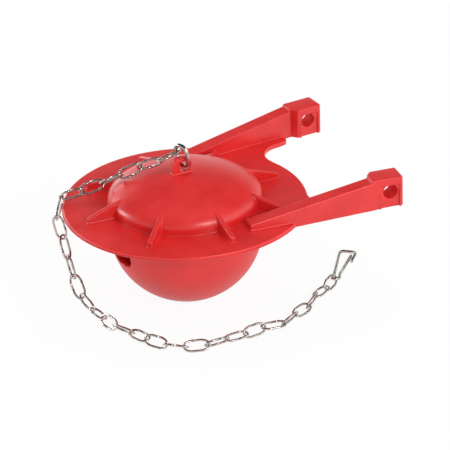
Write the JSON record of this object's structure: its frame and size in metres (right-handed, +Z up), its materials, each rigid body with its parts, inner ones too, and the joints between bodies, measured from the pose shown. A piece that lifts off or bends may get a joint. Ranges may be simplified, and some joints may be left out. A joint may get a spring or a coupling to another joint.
{
  "type": "toilet flapper",
  "caption": "Soft red rubber flapper for a toilet cistern's flush valve: a ribbed round seal over a hollow float bulb, arms with bored hinge lugs, and a wire lift chain with a clip.",
  "frame": {"origin": "under the middle of the flapper's length, on the level of the float bulb's lowest point", "axes": "+X from the float bulb towards the hinge lugs, +Y towards the left-hand arm, +Z up out of the dome, with the flange level"},
  "size_m": [0.108, 0.084, 0.0574],
  "materials": {
    "red_rubber": "satin moulded rubber with a fine flash line round the rim",
    "red_rubber_bulb": "satin moulded rubber, a little duller than the top",
    "bright_wire": "drawn stainless wire, grey with soft streaks along it"
  },
  "bodies": {
    "root": {"top_moulding": "red_rubber", "float_bulb": "red_rubber_bulb", "chain_ring": "bright_wire", "chain_link_01": "bright_wire", "chain_link_02": "bright_wire", "chain_link_03": "bright_wire", "chain_link_04": "bright_wire", "chain_link_05": "bright_wire", "chain_link_06": "bright_wire", "chain_link_07": "bright_wire", "chain_link_08": "bright_wire", "chain_link_09": "bright_wire", "chain_link_10": "bright_wire", "chain_link_11": "bright_wire", "chain_link_12": "bright_wire", "chain_link_13": "bright_wire", "chain_link_14": "bright_wire", "chain_link_15": "bright_wire", "chain_link_16": "bright_wire", "chain_link_17": "bright_wire", "chain_link_18": "bright_wire", "chain_link_19": "bright_wire", "chain_link_20": "bright_wire", "chain_link_21": "bright_wire", "chain_link_22": "bright_wire", "chain_link_23": "bright_wire", "chain_link_24": "bright_wire", "chain_link_25": "bright_wire", "chain_link_26": "bright_wire", "chain_link_27": "bright_wire", "chain_link_28": "bright_wire", "chain_clip": "bright_wire"}
  },
  "joints": []
}
